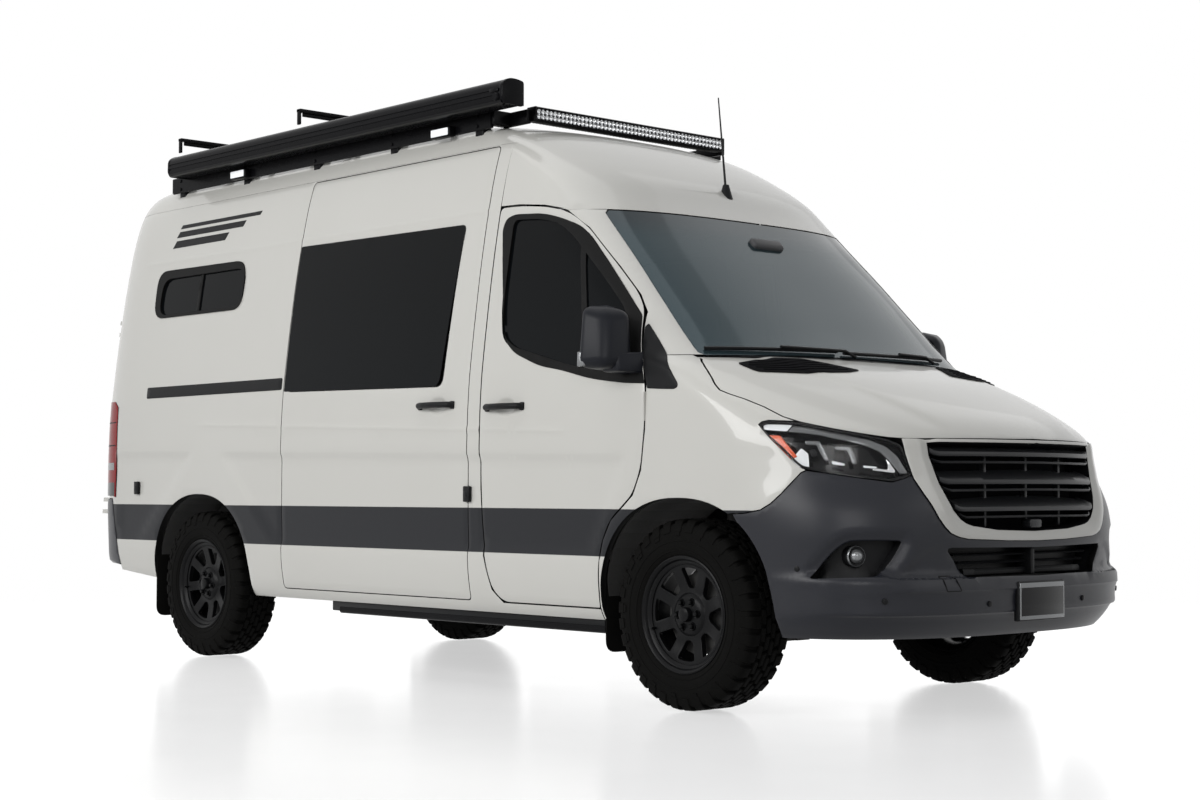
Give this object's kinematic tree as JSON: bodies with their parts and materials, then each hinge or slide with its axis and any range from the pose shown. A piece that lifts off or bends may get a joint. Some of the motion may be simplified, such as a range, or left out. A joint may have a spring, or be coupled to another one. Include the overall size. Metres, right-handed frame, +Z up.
{
  "type": "high-roof van",
  "caption": "High-roof van with a roof rack, side awning, roof light bar and all-terrain tyres; its wheels, steering, doors and bonnet move.",
  "frame": {"origin": "on the ground under the middle of the van's length and width", "axes": "+X points forward, +Y to the van's left, +Z up"},
  "size_m": [5.9334, 2.3388, 2.925],
  "materials": {
    "body_paint": "gloss warm white paint with a dark band along the lower sides",
    "glass": "dark tinted glass",
    "bumper_plastic": "grained dark grey plastic",
    "black_trim": "black satin trim",
    "headlamp_lens": "clear lens over dark reflectors",
    "tail_lens": "red lens",
    "rack_metal": "black powder coat",
    "frame_metal": "dark underbody coating",
    "engine_metal": "cast and dull",
    "seat_fabric": "black woven cloth",
    "wheel_metal": "satin black paint",
    "tyre_rubber": "black rubber",
    "flap_rubber": "matt black rubber"
  },
  "bodies": {
    "body": {"floor_pan": "frame_metal", "chassis_frame": "frame_metal", "engine_block": "engine_metal", "radiator": "frame_metal", "front_suspension": "frame_metal", "rear_axle": "frame_metal", "drivetrain": "frame_metal", "wheel_liners": "black_trim", "body_side_right": "body_paint", "body_side_left": "body_paint", "roof_panel": "body_paint", "cab_frame": "body_paint", "fenders": "body_paint", "front_bumper": "bumper_plastic", "grille_surround": "body_paint", "grille": "black_trim", "headlamps": "headlamp_lens", "windshield": "glass", "dashboard": "black_trim", "cab_seats": "seat_fabric", "sliding_door": "body_paint", "slide_rail": "black_trim", "side_windows": "glass", "mudflaps": "flap_rubber", "side_bars": "rack_metal", "wipers": "black_trim", "roof_rack": "rack_metal", "load_bars": "rack_metal", "awning": "rack_metal", "light_bar": "rack_metal", "antenna": "black_trim", "tail_lamps": "tail_lens", "rear_bumper": "bumper_plastic", "hitch": "rack_metal", "door_hinges": "body_paint"},
    "hood": {"hood": "body_paint"},
    "front_door_right": {"front_door_right": "body_paint", "door_glass_right": "glass", "mirror_right": "black_trim"},
    "front_door_left": {"front_door_left": "body_paint", "door_glass_left": "glass", "mirror_left": "black_trim"},
    "rear_door_right": {"rear_door_right": "body_paint", "rear_glass_right": "glass"},
    "rear_door_left": {"rear_door_left": "body_paint", "rear_glass_left": "glass"},
    "knuckle_right": {"knuckle_right": "frame_metal"},
    "knuckle_left": {"knuckle_left": "frame_metal"},
    "wheel_front_right": {"wheel_front_right": "wheel_metal", "tyre_front_right": "tyre_rubber"},
    "wheel_front_left": {"wheel_front_left": "wheel_metal", "tyre_front_left": "tyre_rubber"},
    "wheel_rear_right": {"wheel_rear_right": "wheel_metal", "tyre_rear_right": "tyre_rubber"},
    "wheel_rear_left": {"wheel_rear_left": "wheel_metal", "tyre_rear_left": "tyre_rubber"},
    "steering_wheel": {"steering_wheel": "black_trim"}
  },
  "joints": [
    {"name": "steer_left", "type": "hinge", "parent": "body", "child": "knuckle_left", "pos_m": [1.911, 0.8, 0.39], "axis": [0, 0, 1], "range_deg": [-34, 34]},
    {"name": "steer_right", "type": "hinge", "parent": "body", "child": "knuckle_right", "pos_m": [1.911, -0.8, 0.39], "axis": [0, 0, 1], "range_deg": [-34, 34]},
    {"name": "steering_wheel_turn", "type": "hinge", "parent": "body", "child": "steering_wheel", "pos_m": [1.291, 0.43, 1.365], "axis": [-0.6157, 0, 0.788], "range_deg": [-480, 480]},
    {"name": "wheel_front_left_spin", "type": "hinge", "parent": "knuckle_left", "child": "wheel_front_left", "pos_m": [1.911, 0.86, 0.39], "axis": [0, 1, 0], "continuous": true},
    {"name": "wheel_front_right_spin", "type": "hinge", "parent": "knuckle_right", "child": "wheel_front_right", "pos_m": [1.911, -0.86, 0.39], "axis": [0, 1, 0], "continuous": true},
    {"name": "wheel_rear_left_spin", "type": "hinge", "parent": "body", "child": "wheel_rear_left", "pos_m": [-1.754, 0.86, 0.39], "axis": [0, 1, 0], "continuous": true},
    {"name": "wheel_rear_right_spin", "type": "hinge", "parent": "body", "child": "wheel_rear_right", "pos_m": [-1.754, -0.86, 0.39], "axis": [0, 1, 0], "continuous": true},
    {"name": "hood_lift", "type": "hinge", "parent": "body", "child": "hood", "pos_m": [1.903, 0, 1.485], "axis": [0, -1, 0], "range_deg": [0, 55]},
    {"name": "front_door_right_swing", "type": "hinge", "parent": "body", "child": "front_door_right", "pos_m": [1.726, -1.011, 1.24], "axis": [0, 0, 1], "range_deg": [0, 70]},
    {"name": "front_door_left_swing", "type": "hinge", "parent": "body", "child": "front_door_left", "pos_m": [1.726, 1.011, 1.24], "axis": [0, 0, -1], "range_deg": [0, 70]},
    {"name": "rear_door_right_swing", "type": "hinge", "parent": "body", "child": "rear_door_right", "pos_m": [-2.956, -0.8539, 0.8], "axis": [0, 0.0929, 0.9957], "range_deg": [0, 180]},
    {"name": "rear_door_left_swing", "type": "hinge", "parent": "body", "child": "rear_door_left", "pos_m": [-2.956, 0.8539, 0.8], "axis": [0, 0.0929, -0.9957], "range_deg": [0, 180]}
  ],
  "couplings": [
    {"joint": "steer_right", "follows": "steer_left", "ratio": 1},
    {"joint": "steering_wheel_turn", "follows": "steer_left", "ratio": 14}
  ]
}
